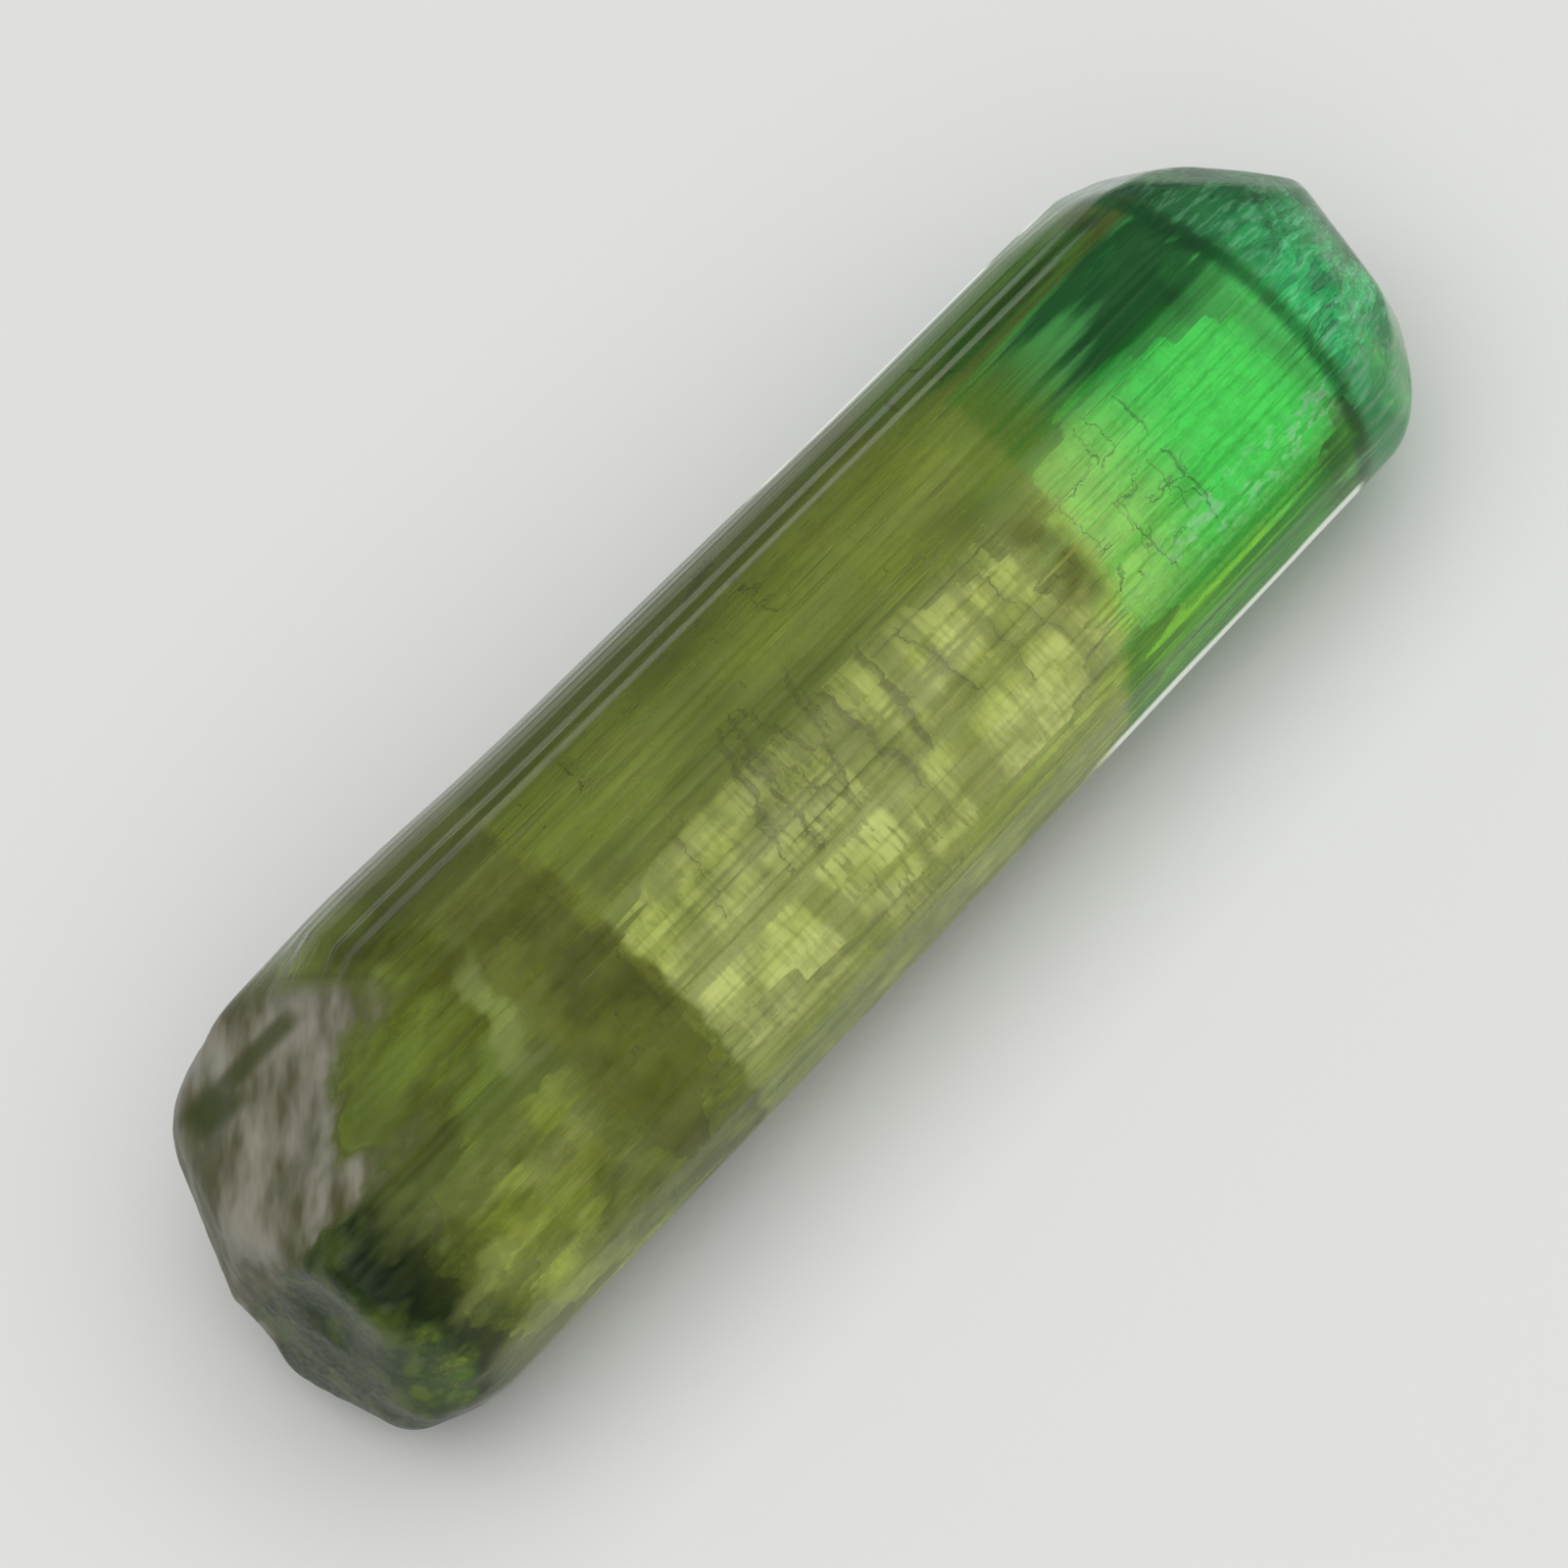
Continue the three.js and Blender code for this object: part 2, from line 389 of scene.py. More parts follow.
class GrowthZones:
    """The crystal's colour zones, each laid over those before. Places are in millimetres."""

    def __init__(self, n, streak, patch):
        self.n, self.streak, self.patch = n, streak, patch
        wander = n.span(patch, 0.2, 0.8, -0.8, 0.8, "LINEAR")
        self.feathers = n.span(n.noise((0.12, 4.0, 4.0), 1.0), 0.3, 0.7, -1.0, 1.0, "LINEAR")
        self.striae = n.noise((0.02, 7.0, 7.0), 1.0)
        self.along = n.math("ADD", n.x, wander)
        self.border = scalloped(n)
        self.feathered = n.math("ADD", self.along, self.feathers)

    def colour(self):
        colour = self.olive_prism()
        for zone in (
            self.dark_band,
            self.towards_break,
            self.brown_patch,
            self.emerald_zone,
            self.dark_stripe,
            self.tawny_strip,
            self.tip,
            self.dark_end,
        ):
            colour = zone(colour)
        return colour

    def olive_prism(self):
        """Olive, with painted light on the near side of the broad face, painted shade towards the
        far edge, and fine striae.
        """
        n, patch, across = self.n, self.patch, self.n.across
        olive = n.mix(n.span(patch, 0.35, 0.7), (0.36, 0.43, 0.085), (0.46, 0.53, 0.14))
        mottled = n.both(n.span(patch, 0.54, 0.64), n.span(across, 0.2, -1.0, 0.0, 0.45))
        olive = n.mix(mottled, olive, (0.33, 0.31, 0.075))
        # Painted light: the near side of the broad face is painted pale, as if lit through from
        # behind.
        lit = n.mix(n.span(patch, 0.35, 0.65), (0.70, 0.78, 0.24), (0.92, 0.96, 0.42))
        right = n.both(n.span(across, -0.9, 0.5), n.span(n.x, -7.1, -6.6))
        colour = n.mix(right, olive, lit)
        colour = n.mix(n.span(self.streak, 0.50, 0.75, 0.0, 0.4), colour, (0.30, 0.36, 0.07))
        # Painted shade: darker towards the far edge of the broad face.
        colour = n.mix(n.span(across, -1.8, -4.1, 0.0, 0.7), colour, (0.13, 0.15, 0.025))
        return n.mix(n.span(self.striae, 0.50, 0.68, 0.0, 0.35), colour, (0.20, 0.24, 0.03))

    def dark_band(self, colour):
        """A dark band across, with an even border towards the break and a scalloped other one."""
        n = self.n
        band = n.both(n.span(self.along, -9.8, -8.9), n.span(self.border, -6.62, -6.85))
        band = n.both(band, n.span(n.across, -3.4, -2.2, 0.5, 1.0))
        brown = n.mix(n.span(self.patch, 0.35, 0.6), (0.22, 0.225, 0.035), (0.36, 0.39, 0.08))
        return n.mix(band, colour, brown)

    def towards_break(self, colour):
        """Smoky between the band and the break, with a painted lit patch low on the broad face and
        a painted glint.
        """
        n, patch, across = self.n, self.patch, self.n.across
        near = n.span(self.along, -9.4, -10.2)
        smoky = n.mix(n.span(patch, 0.38, 0.62), (0.17, 0.185, 0.02), (0.34, 0.44, 0.07))
        colour = n.mix(n.both(near, n.span(across, 1.8, 0.0)), colour, smoky)
        # Painted light: a pale patch on the near side, close to the break.
        painted_light_patch = n.mix(n.span(patch, 0.38, 0.60), (0.26, 0.29, 0.05), (0.60, 0.64, 0.22))
        colour = n.mix(n.both(near, n.span(across, 0.6, 2.4)), colour, painted_light_patch)
        # Painted glint: a pale streak mixed over the colour.
        glint = n.both(
            n.within(self.along, -10.4, -10.0, -9.6, -9.3), n.within(across, -2.2, -1.6, 0.3, 1.0)
        )
        return n.mix(n.math("MULTIPLY", glint, 0.6), colour, (0.62, 0.70, 0.26))

    def brown_patch(self, colour):
        """A brown patch where the emerald zone starts."""
        n = self.n
        stain = n.both(
            n.within(self.along, 5.2, 6.4, 6.8, 7.4), n.within(n.across, -0.8, 0.3, 1.7, 2.8)
        )
        stain = n.both(stain, n.span(self.patch, 0.38, 0.6, 0.1, 0.9))
        return n.mix(stain, colour, (0.36, 0.29, 0.07))

    def emerald_zone(self, colour):
        """Emerald, which reaches further back on the near side; with painted sparkle low down."""
        n, across = self.n, self.n.across
        slant = n.math("MULTIPLY", n.math("MAXIMUM", n.math("SUBTRACT", across, 1.6), 0.0), 0.55)
        reach = n.math("ADD", self.border, slant)
        early = n.mix(n.span(across, -1.2, -0.2), (0.20, 0.32, 0.05), (0.62, 1.0, 0.34))
        emerald = n.mix(n.span(reach, 7.8, 10.8), early, (0.20, 1.0, 0.26))
        low = n.mix(n.span(self.striae, 0.42, 0.60), (0.20, 0.52, 0.07), (0.06, 0.26, 0.02))
        emerald = n.mix(n.span(across, 2.9, 3.9, 0.0, 0.85), emerald, low)
        emerald = n.mix(n.span(self.streak, 0.56, 0.72, 0.0, 0.4), emerald, (0.06, 0.50, 0.05))
        emerald = n.mix(n.span(self.striae, 0.54, 0.68, 0.0, 0.45), emerald, (0.05, 0.42, 0.05))
        # Painted sparkle: a row of pale specks low on the near side.
        row = n.both(n.within(across, 2.3, 2.7, 3.2, 3.6), n.span(n.x, 7.6, 8.6))
        painted_sparkle = n.both(row, n.span(n.noise((2.4, 5.0, 5.0), 1.0), 0.52, 0.62, 0.0, 0.85))
        emerald = n.mix(painted_sparkle, emerald, (0.66, 1.0, 0.74))
        return n.mix(n.both(n.span(reach, 6.95, 7.5), n.span(across, -3.25, -3.0)), colour, emerald)

    def dark_stripe(self, colour):
        """A dark blue-green stripe beside the emerald, with feathered ends."""
        n = self.n
        swayed = n.math("ADD", n.across, n.math("MULTIPLY", self.feathers, 0.15))
        shade = n.both(
            n.within(swayed, -3.35, -3.0, -1.2, -0.3),
            n.within(self.feathered, 8.6, 10.6, 13.6, 14.8),
        )
        return n.mix(n.math("MULTIPLY", shade, 0.93), colour, (0.008, 0.11, 0.03))

    def tawny_strip(self, colour):
        """An olive strip along the far edge, beside the dark stripe."""
        n = self.n
        outer = n.both(
            n.span(n.across, -3.1, -3.4), n.within(self.feathered, 6.5, 9.0, 12.4, 13.6)
        )
        tawny = n.mix(n.span(self.streak, 0.4, 0.6), (0.06, 0.14, 0.01), (0.20, 0.24, 0.03))
        return n.mix(outer, colour, tawny)

    def tip(self, colour):
        """The blue-green tip, with a dark bowed line where it starts."""
        n, across = self.n, self.n.across
        bow = n.math("MULTIPLY", n.math("POWER", n.math("SUBTRACT", across, 0.7), 2.0), 0.035)
        bowed = n.math("ADD", n.x, bow)
        silk = n.noise((0.5, 6.0, 2.5), 2.0, 0.65)
        teal = n.mix(n.span(across, -3.4, 1.6), (0.03, 0.19, 0.07), (0.11, 0.82, 0.34))
        gleam = n.both(n.span(silk, 0.46, 0.66), n.span(across, -3.5, 2.0, 0.3, 1.0))
        teal = n.mix(gleam, teal, (0.46, 1.0, 0.72))
        teal = n.mix(n.span(self.patch, 0.44, 0.34, 0.0, 0.6), teal, (0.02, 0.20, 0.09))
        colour = n.mix(n.span(bowed, 13.9, 14.6), colour, teal)
        line = n.within(bowed, 13.72, 14.02, 14.12, 14.5)
        return n.mix(n.math("MULTIPLY", line, 0.85), colour, (0.008, 0.13, 0.04))

    def dark_end(self, colour):
        """Dark and mottled towards the break, on the near side."""
        n, patch = self.n, self.patch
        dark = n.mix(n.span(patch, 0.48, 0.64), (0.012, 0.035, 0.001), (0.13, 0.18, 0.02))
        deep = n.both(n.span(self.along, -13.6, -15.4), n.span(n.across, -1.2, 0.0))
        return n.mix(n.both(deep, n.span(patch, 0.30, 0.5, 0.7, 1.0)), colour, dark)


def frost_on_break(n, patch):
    """How frosted the broken end is, how pale its smears are, and where it has dark pits."""
    # Smears run along this direction in the plane of along and across.
    down = n.vector(
        n.math("SUBTRACT", n.math("MULTIPLY", n.x, 0.72), n.math("MULTIPLY", n.across, 0.69)),
        n.math("ADD", n.math("MULTIPLY", n.x, 0.69), n.math("MULTIPLY", n.across, 0.72)),
        n.up,
    )
    ragged = n.span(patch, 0.2, 0.8, -1.7, 1.7, "LINEAR")
    # The inner border leans towards the prism on the far side of the broad face.
    lean = n.math("MAXIMUM", n.math("SUBTRACT", -1.6, n.across), 0.0)
    border = n.math("SUBTRACT", n.x, n.math("MULTIPLY", lean, 2.55))
    inner = n.span(n.math("ADD", border, ragged), -13.0, -15.4)
    outer_lean = n.math("MAXIMUM", n.math("SUBTRACT", -2.8, n.across), 0.0)
    outer = n.span(n.math("ADD", n.x, n.math("MULTIPLY", outer_lean, 0.75)), -10.2, -12.0)
    low = n.span(n.math("ADD", n.across, n.math("MULTIPLY", ragged, 0.35)), 0.35, -0.35)
    smears = n.noise((0.34, 1.15, 0.6), 3.0, 0.55, place=down)
    hole = n.both(
        n.within(n.x, -16.0, -15.4, -15.0, -14.3), n.within(n.across, -4.4, -3.9, -3.5, -3.1)
    )
    furrow = n.both(
        n.within(n.x, -15.8, -15.0, -13.0, -12.4), n.within(n.across, -4.2, -3.95, -3.8, -3.5)
    )
    bare = n.math("SUBTRACT", 1.0, n.either(hole, n.math("MULTIPLY", furrow, 0.7)))
    frost = n.both(inner, outer, low, n.span(smears, 0.30, 0.50, 0.65, 1.0))
    chip = n.both(n.within(n.x, -18.4, -18.1, -17.7, -17.4), n.within(n.across, 0.1, 0.4, 0.7, 1.1))
    return n.either(frost, chip), n.both(n.span(smears, 0.36, 0.70), bare), bare


def paint_edge_highlights(mesh):
    """Marks the two prism edges beside the emerald zone that get a painted white highlight line."""
    points = points_of(mesh)
    x = points[:, 0] / MM
    ring = np.round(x * 2).astype(int)
    first = ring.min()
    wear_and_highlight = np.zeros(len(points))
    for looks, start, end in PAINTED_HIGHLIGHT_EDGES:
        direction = np.array((0, math.cos(looks), math.sin(looks)))
        out = (points - np.array((0, 0, AXIS_HEIGHT))) @ direction / MM
        reach = np.full(ring.max() - first + 1, -9.0)
        np.maximum.at(reach, ring - first, out)
        met = np.nonzero(reach > -9.0)[0]
        outermost = np.interp(x, (met + first) / 2, reach[met])
        close = smooth_step(-0.05, -0.018, out - outermost)
        here = smooth_step(start, start + 1.2, x) * (1 - smooth_step(end, end + 0.3, x))
        gaps = sample(noise.noise, np.stack([x * 0.8, x * 0 + looks, x * 0], 1))
        wear_and_highlight = np.maximum(wear_and_highlight, close * here * smooth_step(-0.42, -0.34, gaps))
    attribute = mesh.attributes.new("painted_edge_highlight", "FLOAT", "POINT")
    attribute.data.foreach_set("value", wear_and_highlight)


def tourmaline_material(settings):
    """See-through, with growth zones along the prism, striations and a frosted break."""
    n = Nodes("tourmaline")
    streak = n.noise((0.04, 2.6, 2.6), 1.0)
    patch = n.noise((0.35, 0.7, 0.7), 3.0, 0.6)
    colour = GrowthZones(n, streak, patch).colour()
    frost, smear, bare = frost_on_break(n, patch)
    pale = n.mix(smear, (0.065, 0.06, 0.025), (0.22, 0.205, 0.165))
    pale = n.mix(bare, (0.03, 0.04, 0.006), pale)
    colour = n.mix(n.span(frost, 0.0, 0.3, 0.0, 0.8), colour, (0.09, 0.10, 0.02))
    colour = n.mix(n.span(frost, 0.2, 0.85), colour, pale)
    # A painted white highlight line along two prism edges; it is also made rough and less clear
    # below.
    wear_and_highlight = n.add("Attribute", attribute_name="painted_edge_highlight").outputs["Fac"]
    colour = n.mix(wear_and_highlight, colour, (0.90, 0.92, 0.86))
    frost = n.either(frost, wear_and_highlight)

    lines = n.noise((0.05, 8.0, 8.0), 0.0)
    grain = n.noise((4.5, 4.5, 4.5), 0.0)
    relief = n.add(
        "Mix", {0: n.span(n.x, -11.5, -13.5), 2: lines, 3: grain}, data_type="FLOAT"
    ).outputs[0]
    bump = n.add(
        "Bump", {"Strength": 0.35, "Distance": 0.025 * MM, "Height": relief}
    ).outputs["Normal"]
    gloss = n.span(lines, 0.3, 0.7, 0.05, 0.17, "LINEAR")
    gloss = n.math("ADD", gloss, n.span(n.x, -15.2, -16.8, 0.0, 0.3))
    rough = n.add("Mix", {0: frost, 2: gloss, 3: 0.55}, data_type="FLOAT").outputs[0]
    clear = n.span(frost, 0.0, 1.0, 0.86, 0.12, "LINEAR")
    shell = n.add(
        "BsdfPrincipled",
        {
            "Base Color": colour,
            "Roughness": rough,
            "Normal": bump,
            "IOR": 1.63,
            "Specular Tint": (*settings.sheen_tint, 1.0),
            "Transmission Weight": clear,
        },
    )
    inside_colour = n.add(
        "VolumeAbsorption",
        {"Color": (*settings.body_tint, 1.0), "Density": settings.absorption},
    )
    return n.finish(shell.outputs["BSDF"], inside_colour.outputs["Volume"])


class TOURMALINE_OT_crystal(bpy.types.Operator):
    """Builds the crystal's fine skin over its CAD solid"""

    bl_idname = "tourmaline.crystal"
    bl_label = "Crystal"

    def execute(self, context):
        settings = context.scene.tourmaline_crystal
        skin = skin_cage(settings)
        skin.name = SKIN
        apply_modifier(
            skin,
            "SHRINKWRAP",
            target=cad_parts[NODE],
            wrap_method="PROJECT",
            use_negative_direction=True,
            use_positive_direction=False,
        )
        points = points_of(skin.data)
        # Real wear: the two ends are rounded off by smoothing.
        wear_and_highlight = skin.vertex_groups.new(name="wear_and_highlight")
        ends = HALF_LENGTH - 6.5 * MM
        for index in np.nonzero(np.abs(points[:, 0]) > ends)[0]:
            wear_and_highlight.add([int(index)], 1.0, "REPLACE")
        apply_modifier(
            skin, "SMOOTH", factor=settings.wear, iterations=60, vertex_group="wear_and_highlight"
        )
        shape_skin(skin, settings)
        paint_edge_highlights(skin.data)
        only(skin)
        bpy.ops.object.shade_smooth_by_angle(angle=math.radians(40))
        skin.data.materials.append(tourmaline_material(settings))
        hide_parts(NODE)
        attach(skin, "root")
        return {"FINISHED"}


# ------------------------------------------------------- sealed in the crystal


def inside(x, across, up):
    """A place in the crystal, from millimetres along, across and up."""
    return Vector((x * MM, 0, AXIS_HEIGHT)) + (ACROSS * across + UPWARD * up) * MM


def seal_in(piece, material):
    """Gives a piece its material and lets it ride with the crystal."""
    piece.data.materials.clear()
    piece.data.materials.append(material)
    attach(piece, "root")


def sheet(name, centre, along, aside, half_sizes, wave, ragged, dice, material, settings):
    """A thin wavy sheet with a ragged outline, spanned by two directions.

    Its half sizes and the height of its waves are in millimetres; ragged is a share of its size.
    """
    bpy.ops.object.select_all(action="DESELECT")
    bpy.ops.mesh.primitive_grid_add(x_subdivisions=40, y_subdivisions=40, size=2.0)
    piece = bpy.context.object
    piece.name = name
    grid = points_of(piece.data)
    square = np.maximum(np.abs(grid[:, 0]), np.abs(grid[:, 1]))
    turn = np.arctan2(grid[:, 1], grid[:, 0])
    offset = Vector([dice.uniform(-50, 50) for _ in range(3)])
    circle = [Vector((math.cos(t), math.sin(t), 0)) * 1.7 + offset for t in turn]
    rim = [1 + ragged * noise.fractal(place, 0.7, 2.0, 4) for place in circle]
    radius = square * np.array(rim)
    a = np.cos(turn) * radius * half_sizes[0]
    b = np.sin(turn) * radius * half_sizes[1]
    lift = [noise.fractal(Vector((p, q, 0)) * 0.9 + offset, 0.7, 2.0, 4) for p, q in zip(a, b)]
    along, aside = along.normalized(), aside.normalized()
    out = along.cross(aside)
    place = (
        np.array(centre)[None, :]
        + np.outer(a * MM, along)
        + np.outer(b * MM, aside)
        + np.outer(wave * np.array(lift) * MM, out)
    )
    move_points(piece.data, place)
    apply_modifier(piece, "SOLIDIFY", thickness=settings.sheet_thickness, offset=0.0)
    seal_in(piece, material)
    return piece


def veil_nodes(n, colour, cover):
    """A matt film that covers what is behind it by this much."""
    film = n.add(
        "BsdfPrincipled",
        {"Base Color": colour, "Roughness": 0.6, "IOR": 1.2, "Alpha": cover},
    )
    return n.finish(film.outputs["BSDF"])


def window_material(shift):
    """Painted reflections: bright blocks where light rows and light columns cross."""
    n = Nodes("painted_reflections")
    rows = n.noise((0.05, 1.35, 0.0), 1.0, 0.5, (0.0, 3.1, 0.0))
    columns = n.noise((1.05, 0.22, 0.0), 1.0, 0.5)
    cloud = n.noise((0.9, 1.2, 1.2), 0.0, 0.6, shift)
    fine = n.noise((6.5, 1.8, 1.8), 1.0, 0.6, shift)
    block = n.both(n.span(rows, 0.36, 0.54, 0.2, 1.0), n.span(columns, 0.38, 0.56, 0.15, 1.0))
    first = n.both(n.within(n.across, -0.7, -0.3, 0.6, 0.84), n.within(n.x, -6.9, -6.5, -1.8, 0.6))
    block = n.either(block, n.both(first, n.span(columns, 0.34, 0.5, 0.45, 1.0)))
    right = n.both(n.span(n.across, -1.0, 0.0), n.within(n.x, -6.9, -6.5, 5.6, 6.9))
    wisps = n.both(n.within(n.x, -3.0, -2.0, 0.5, 1.8), n.span(fine, 0.47, 0.36, 0.0, 0.7))
    light = n.both(block, n.span(cloud, 0.30, 0.58, 0.45, 1.0), n.span(fine, 0.35, 0.6, 0.6, 1.0))
    light = n.both(light, n.math("SUBTRACT", 1.0, wisps))
    colour = n.mix(light, (0.40, 0.43, 0.15), (1.0, 1.0, 0.84))
    return veil_nodes(n, colour, n.both(right, n.span(light, 0.0, 0.7, 0.45, 0.95)))


def haze_material(shift):
    """A soft pale haze of fine needles."""
    n = Nodes("haze")
    cloud = n.noise((0.22, 0.5, 0.5), 1.0, 0.6, shift)
    needles = n.noise((0.3, 8.0, 8.0), 0.0, 0.6, shift)
    colour = n.mix(needles, (0.50, 0.56, 0.18), (0.76, 0.82, 0.38))
    fade = n.both(n.within(n.x, -13.6, -11.0, 6.0, 10.0), n.within(n.across, -3.9, -3.0, 0.4, 2.0))
    banded = n.math("SUBTRACT", 1.0, n.within(n.x, -9.5, -8.9, -7.0, -6.6))
    cover = n.both(n.span(cloud, 0.36, 0.66), n.span(needles, 0.25, 0.75, 0.35, 0.75), fade, banded)
    return veil_nodes(n, colour, cover)


def lower_material(shift):
    """Painted light: a cloudy olive glow low on the broad side."""
    n = Nodes("lower_cloud")
    cloud = n.noise((0.7, 1.1, 1.1), 1.0, 0.6, shift)
    threads = n.noise((0.08, 8.0, 8.0), 0.0, 0.6, shift)
    colour = n.mix(n.span(cloud, 0.40, 0.65), (0.38, 0.41, 0.10), (0.92, 0.95, 0.46))
    cover = n.both(n.span(cloud, 0.25, 0.60, 0.35, 0.9), n.span(threads, 0.3, 0.6, 0.55, 1.0))
    return veil_nodes(n, colour, cover)


def glow_material():
    """Painted glow: a lit emerald veil, pale at its border, with bright specks low down as painted
    sparkle.
    """
    n = Nodes("emerald_veil")
    dust = n.noise((1.4, 3.6, 3.6), 2.0, 0.7)
    specks = n.noise((3.0, 5.0, 5.0), 1.0, 0.7)
    colour = n.mix(n.span(n.x, 7.5, 11.0), (0.74, 1.0, 0.52), (0.34, 1.0, 0.46))
    row = n.both(n.within(n.across, 2.2, 2.7, 3.2, 3.7), n.span(specks, 0.50, 0.62))
    colour = n.mix(row, colour, (0.72, 1.0, 0.80))
    place = n.both(n.within(n.x, 6.9, 7.3, 12.9, 14.0), n.within(n.across, -1.1, -0.4, 3.2, 3.9))
    cover = n.both(place, n.either(n.span(dust, 0.35, 0.60, 0.6, 1.0), row))
    return veil_nodes(n, colour, cover)


def silk_material():
    """Pale silky lines that run into the tip."""
    n = Nodes("tip_silk")
    silk = n.noise((0.45, 6.0, 6.0), 2.0, 0.72)
    cloud = n.noise((0.8, 0.8, 0.8), 1.0, 0.6)
    colour = n.mix(cloud, (0.20, 0.80, 0.50), (0.60, 1.0, 0.86))
    right = n.span(n.across, -2.2, 1.6, 0.15, 1.0)
    cover = n.both(n.span(silk, 0.40, 0.62), n.span(cloud, 0.36, 0.58, 0.2, 1.0), right)
    return veil_nodes(n, colour, n.both(cover, n.span(n.x, 13.9, 14.6)))


def healed_material():
    """A healed fracture: pale where it has closed, clear elsewhere."""
    n = Nodes("healed_fracture")
    patches = n.noise((1.0, 1.0, 1.0), 1.0, 0.65)
    colour = n.mix(n.span(patches, 0.4, 0.65), (0.55, 0.60, 0.24), (0.93, 0.95, 0.62))
    return veil_nodes(n, colour, n.span(patches, 0.42, 0.62, 0.0, 0.8))


def dark_material(name, dark, brown, most):
    """A dark crack that fades in and out; most is how much it covers at its darkest."""
    n = Nodes(name)
    patches = n.noise((1.8, 1.8, 1.8), 1.0, 0.6)
    return veil_nodes(n, n.mix(patches, dark, brown), n.span(patches, 0.36, 0.56, 0.25, most))


def brown_material():
    """A dark growth zone with a ragged border towards the middle."""
    n = Nodes("brown_zone")
    cloud = n.noise((0.6, 0.6, 0.6), 2.0, 0.6)
    colour = n.mix(n.span(cloud, 0.35, 0.65), (0.19, 0.185, 0.03), (0.33, 0.36, 0.07))
    far = n.span(n.across, -3.0, -2.2)
    place = n.both(n.span(n.x, -9.5, -8.9), n.span(scalloped(n), -6.66, -6.8), far)
    return veil_nodes(n, colour, n.both(place, n.span(cloud, 0.3, 0.6, 0.7, 0.9)))


def plain_film(name, one, other):
    """A film's nodes, with a colour that drifts between two."""
    n = Nodes(name)
    drift = n.noise((0.8, 2.0, 2.0), 1.0, 0.6)
    return n, n.mix(drift, one, other), n.span(drift, 0.3, 0.6, 0.55, 0.95)


def copies(model, name, places, material):
    """One copy of a model at each place, all joined into one piece; the model goes."""
    bpy.ops.object.select_all(action="DESELECT")
    for place in places:
        copy = model.copy()
        copy.data = model.data.copy()
        copy.data.transform(place)
        bpy.context.scene.collection.objects.link(copy)
        copy.select_set(True)
    bpy.data.objects.remove(model, do_unlink=True)
    piece = bpy.context.selected_objects[0]
    bpy.context.view_layer.objects.active = piece
    bpy.ops.object.join()
    piece = bpy.context.object
    piece.name = name
    seal_in(piece, material)
    return piece


GROWN_AXES = Matrix((Vector((1, 0, 0)), ACROSS, UPWARD)).transposed()


def placed(x, across, up, sizes, turn=0.0, tilt=0.0):
    """Where a copy goes: its place and sizes in millimetres, and its turn in the broad face."""
    return (
        Matrix.Translation(inside(x, across, up))
        @ GROWN_AXES.to_4x4()
        @ Matrix.Rotation(turn, 4, "Z")
        @ Matrix.Rotation(tilt, 4, "Y")
        @ Matrix.Diagonal((*(size * MM for size in sizes), 1.0))
    )


def needle():
    """A slender closed needle, one millimetre long and across, pointed at both ends."""
    bpy.ops.object.select_all(action="DESELECT")
    bpy.ops.mesh.primitive_uv_sphere_add(
        segments=6, ring_count=8, radius=0.5, rotation=(0, math.pi / 2, 0)
    )
    bpy.ops.object.transform_apply(location=True, rotation=True, scale=True)
    return bpy.context.object


def grain():
    """A small lumpy grain, one millimetre across."""
    bpy.ops.object.select_all(action="DESELECT")
    bpy.ops.mesh.primitive_ico_sphere_add(subdivisions=2, radius=0.5)
    piece = bpy.context.object
    points = points_of(piece.data)
    lumps = sample(lambda p: noise.fractal(p, 0.7, 2.0, 3), points * 3.1 + 7.0)
    move_points(piece.data, points * (1 + 0.5 * lumps)[:, None])
    return piece


def crack(dice, x, across, up, heading, length, wander, depth):
    """A narrow ribbon that wanders along a heading near the broad face and hangs down from it."""
    bpy.ops.object.select_all(action="DESELECT")
    bpy.ops.mesh.primitive_grid_add(x_subdivisions=36, y_subdivisions=3, size=2.0)
    piece = bpy.context.object
    grid = points_of(piece.data)
    offset = Vector([dice.uniform(-50, 50) for _ in range(3)])
    lean = dice.uniform(-0.5, 0.5)
    place = []
    for share, side, _ in grid:
        sway = wander * noise.fractal(Vector((share * length * 1.1, 0, 0)) + offset, 0.6, 2.1, 5)
        jag = 0.5 * depth * noise.noise(Vector((share * length * 2.0, side, 4)) + offset)
        reach = (side * depth + jag) * (1 - share**4)
        forward = share * length / 2
        place.append(
            inside(
                x + math.cos(heading) * forward - math.sin(heading) * sway + lean * 0.4 * reach,
                across + math.sin(heading) * forward + math.cos(heading) * sway,
                up + reach,
            )
        )
    move_points(piece.data, np.array(place))
    apply_modifier(piece, "SOLIDIFY", thickness=0.02 * MM, offset=0.0)
    return piece


def joined(pieces, name, material):
    """All the pieces as one, under this name."""
    bpy.ops.object.select_all(action="DESELECT")
    for piece in pieces:
        piece.select_set(True)
    bpy.context.view_layer.objects.active = pieces[0]
    bpy.ops.object.join()
    piece = bpy.context.object
    piece.name = name
    seal_in(piece, material)
    return piece


